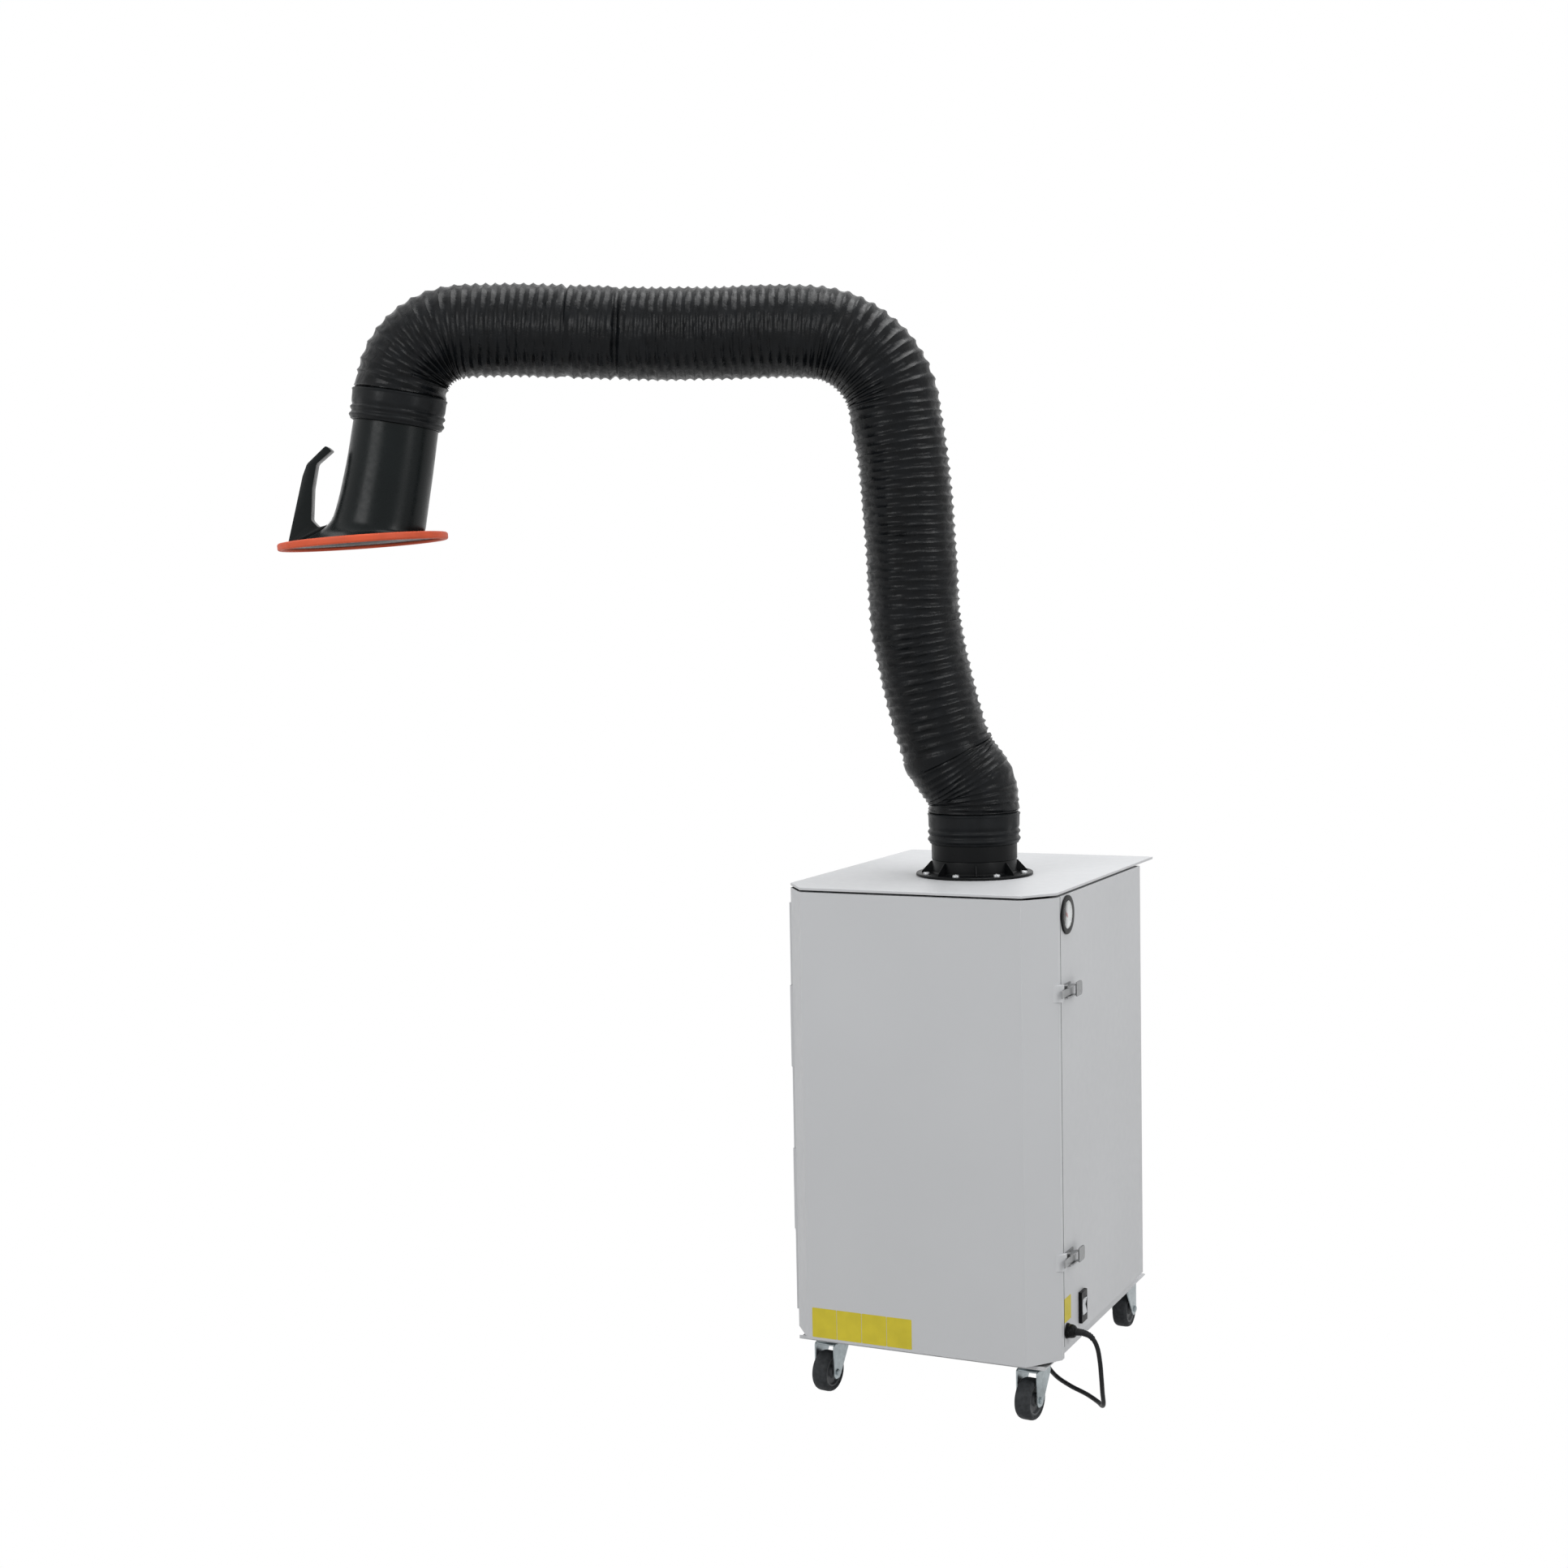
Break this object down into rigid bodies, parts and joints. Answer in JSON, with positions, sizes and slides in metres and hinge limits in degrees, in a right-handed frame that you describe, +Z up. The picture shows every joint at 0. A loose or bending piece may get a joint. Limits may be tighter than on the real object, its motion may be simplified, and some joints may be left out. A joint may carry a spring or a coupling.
{
  "type": "mobile welding fume extractor",
  "caption": "Filter cabinet on swivel casters with a side-latched door, a top-mounted jointed hose arm and a round fume hood with a soft rim.",
  "frame": {"origin": "on the floor under the middle of the box round the whole object without its cord, coil and plug", "axes": "+Z up; -Y is the door side; +X is the cabinet's right side, with the latches, gauge, switch and cord"},
  "size_m": [1.4842, 1.2562, 2.0757],
  "materials": {
    "painted": "off-white grey powder coat, satin, fine texture",
    "galvanised": "zinc-plated steel, slightly blue, satin",
    "link_steel": "plain steel bar inside the hose",
    "hose": "black coated fabric hose, wire ribs, soft sheen",
    "cuff_rubber": "smooth black rubber",
    "wheel_rubber": "dark grey wheel, matt tread",
    "hood_plastic": "black moulded plastic, soft gloss",
    "rim_orange": "orange soft edge strip, matt",
    "black_plastic": "black moulded plastic",
    "cord_rubber": "black rubber cord sheath and moulded plug",
    "motor_metal": "ribbed motor housing, grey paint",
    "switch_pale": "pale grey rocker",
    "gauge_glass": "clear lens",
    "needle_red": "red pointer",
    "filter_paper": "pleated filter medium with end caps"
  },
  "bodies": {
    "root": {"base_plate": "painted", "left_panel": "painted", "right_panel": "painted", "rear_panel": "painted", "top_cover": "painted", "filter_deck": "galvanised", "filter_cartridge": "filter_paper", "dust_tray": "galvanised", "fan_housing": "galvanised", "fan_motor": "motor_metal", "exhaust_box": "painted", "control_box": "black_plastic", "gauge_body": "black_plastic", "gauge_lens": "gauge_glass", "switch_housing": "black_plastic", "cord_gland": "black_plastic", "door_hinge": "galvanised", "latch_base_upper": "galvanised", "latch_base_lower": "galvanised", "caster_plate_front_left": "galvanised", "caster_plate_front_right": "galvanised", "caster_plate_rear_left": "galvanised", "caster_plate_rear_right": "galvanised", "base_flange": "painted", "power_cord": "cord_rubber", "cord_coil": "cord_rubber", "plug": "cord_rubber"},
    "door": {"door": "painted", "door_gasket": "cuff_rubber"},
    "latch_lever_upper": {"latch_lever_upper": "galvanised"},
    "latch_hook_upper": {"latch_hook_upper": "galvanised"},
    "latch_lever_lower": {"latch_lever_lower": "galvanised"},
    "latch_hook_lower": {"latch_hook_lower": "galvanised"},
    "gauge_needle": {"gauge_needle": "needle_red"},
    "switch_rocker": {"switch_rocker": "switch_pale"},
    "fan": {"fan_impeller": "galvanised"},
    "caster_front_left": {"caster_fork_front_left": "galvanised"},
    "wheel_front_left": {"caster_wheel_front_left": "wheel_rubber"},
    "caster_front_right": {"caster_fork_front_right": "galvanised"},
    "wheel_front_right": {"caster_wheel_front_right": "wheel_rubber"},
    "caster_rear_left": {"caster_fork_rear_left": "galvanised"},
    "wheel_rear_left": {"caster_wheel_rear_left": "wheel_rubber"},
    "caster_rear_right": {"caster_fork_rear_right": "galvanised"},
    "wheel_rear_right": {"caster_wheel_rear_right": "wheel_rubber"},
    "pedal_rear_left": {"brake_pedal_rear_left": "galvanised"},
    "pedal_rear_right": {"brake_pedal_rear_right": "galvanised"},
    "arm_base": {"swivel_pipe": "painted", "base_cuff": "cuff_rubber", "hose_shoulder": "hose"},
    "lower_arm": {"lower_link": "link_steel", "hose_lower": "hose", "hose_elbow": "hose"},
    "upper_arm": {"upper_link": "link_steel", "hose_upper": "hose", "hose_wrist": "hose"},
    "wrist": {"wrist_bracket": "link_steel", "hood_cuff": "cuff_rubber"},
    "hood": {"hood_body": "hood_plastic", "hood_rim": "rim_orange", "hood_handle": "hood_plastic"}
  },
  "joints": [
    {"name": "door_swing", "type": "hinge", "parent": "root", "child": "door", "pos_m": [0.17705, -0.08525, 0.5], "axis": [0, 0, 1], "range_deg": [-105, 0]},
    {"name": "latch_lever_upper_turn", "type": "hinge", "parent": "root", "child": "latch_lever_upper", "pos_m": [0.70835, -0.07325, 0.78], "axis": [0, 0, -1], "range_deg": [0, 100]},
    {"name": "latch_hook_upper_turn", "type": "hinge", "parent": "latch_lever_upper", "child": "latch_hook_upper", "pos_m": [0.71115, -0.05225, 0.78], "axis": [0, 0, -1], "range_deg": [-100, 0]},
    {"name": "latch_lever_lower_turn", "type": "hinge", "parent": "root", "child": "latch_lever_lower", "pos_m": [0.70835, -0.07325, 0.295], "axis": [0, 0, -1], "range_deg": [0, 100]},
    {"name": "latch_hook_lower_turn", "type": "hinge", "parent": "latch_lever_lower", "child": "latch_hook_lower", "pos_m": [0.71115, -0.05225, 0.295], "axis": [0, 0, -1], "range_deg": [-100, 0]},
    {"name": "gauge_needle_turn", "type": "hinge", "parent": "root", "child": "gauge_needle", "pos_m": [0.70185, -0.04825, 0.915], "axis": [1, 0, 0], "range_deg": [-135, 100]},
    {"name": "switch_rock", "type": "hinge", "parent": "root", "child": "switch_rocker", "pos_m": [0.70185, 0.01275, 0.185], "axis": [0, 1, 0], "range_deg": [-9, 9]},
    {"name": "fan_spin", "type": "hinge", "parent": "root", "child": "fan", "pos_m": [0.44185, 0.13425, 0.3], "axis": [0, 0, 1], "continuous": true},
    {"name": "caster_front_left_swivel", "type": "hinge", "parent": "root", "child": "caster_front_left", "pos_m": [0.24185, -0.06775, 0.09], "axis": [0, 0, 1], "continuous": true},
    {"name": "wheel_front_left_roll", "type": "hinge", "parent": "caster_front_left", "child": "wheel_front_left", "pos_m": [0.23892, -0.0956, 0.0375], "axis": [-0.9945, 0.1045, 0], "continuous": true},
    {"name": "caster_front_right_swivel", "type": "hinge", "parent": "root", "child": "caster_front_right", "pos_m": [0.64185, -0.06775, 0.09], "axis": [0, 0, 1], "continuous": true},
    {"name": "wheel_front_right_roll", "type": "hinge", "parent": "caster_front_right", "child": "wheel_front_right", "pos_m": [0.63892, -0.0956, 0.0375], "axis": [-0.9945, 0.1045, 0], "continuous": true},
    {"name": "caster_rear_left_swivel", "type": "hinge", "parent": "root", "child": "caster_rear_left", "pos_m": [0.24185, 0.44875, 0.09], "axis": [0, 0, 1], "continuous": true},
    {"name": "wheel_rear_left_roll", "type": "hinge", "parent": "caster_rear_left", "child": "wheel_rear_left", "pos_m": [0.24185, 0.47675, 0.0375], "axis": [1, 0, 0], "continuous": true},
    {"name": "caster_rear_right_swivel", "type": "hinge", "parent": "root", "child": "caster_rear_right", "pos_m": [0.64185, 0.44875, 0.09], "axis": [0, 0, 1], "continuous": true},
    {"name": "wheel_rear_right_roll", "type": "hinge", "parent": "caster_rear_right", "child": "wheel_rear_right", "pos_m": [0.64185, 0.47675, 0.0375], "axis": [1, 0, 0], "continuous": true},
    {"name": "brake_rear_left_press", "type": "hinge", "parent": "caster_rear_left", "child": "pedal_rear_left", "pos_m": [0.24185, 0.48075, 0.0862], "axis": [1, 0, 0], "range_deg": [-12, 0]},
    {"name": "brake_rear_right_press", "type": "hinge", "parent": "caster_rear_right", "child": "pedal_rear_right", "pos_m": [0.64185, 0.48075, 0.0862], "axis": [1, 0, 0], "range_deg": [-12, 0]},
    {"name": "arm_swivel", "type": "hinge", "parent": "root", "child": "arm_base", "pos_m": [0.46385, 0.12225, 1], "axis": [0, 0, 1], "continuous": true},
    {"name": "shoulder_lean", "type": "hinge", "parent": "arm_base", "child": "lower_arm", "pos_m": [0.46385, 0.12225, 1.075], "axis": [0.4311, -0.9023, 0], "range_deg": [-20, 45], "deforming": ["hose_shoulder"]},
    {"name": "elbow_fold", "type": "hinge", "parent": "lower_arm", "child": "upper_arm", "pos_m": [0.324, 0.05542, 1.96], "axis": [0.4311, -0.9023, 0], "range_deg": [-60, 40], "deforming": ["hose_elbow"]},
    {"name": "wrist_tilt", "type": "hinge", "parent": "upper_arm", "child": "wrist", "pos_m": [-0.45648, -0.31751, 1.965], "axis": [0.4311, -0.9023, 0], "range_deg": [-45, 45], "deforming": ["hose_wrist"]},
    {"name": "hood_turn", "type": "hinge", "parent": "wrist", "child": "hood", "pos_m": [-0.50024, -0.33842, 1.8235], "axis": [0.1458, 0.0697, 0.9869], "continuous": true}
  ],
  "couplings": [
    {"joint": "latch_hook_upper_turn", "follows": "latch_lever_upper_turn", "ratio": -1},
    {"joint": "latch_hook_lower_turn", "follows": "latch_lever_lower_turn", "ratio": -1}
  ]
}
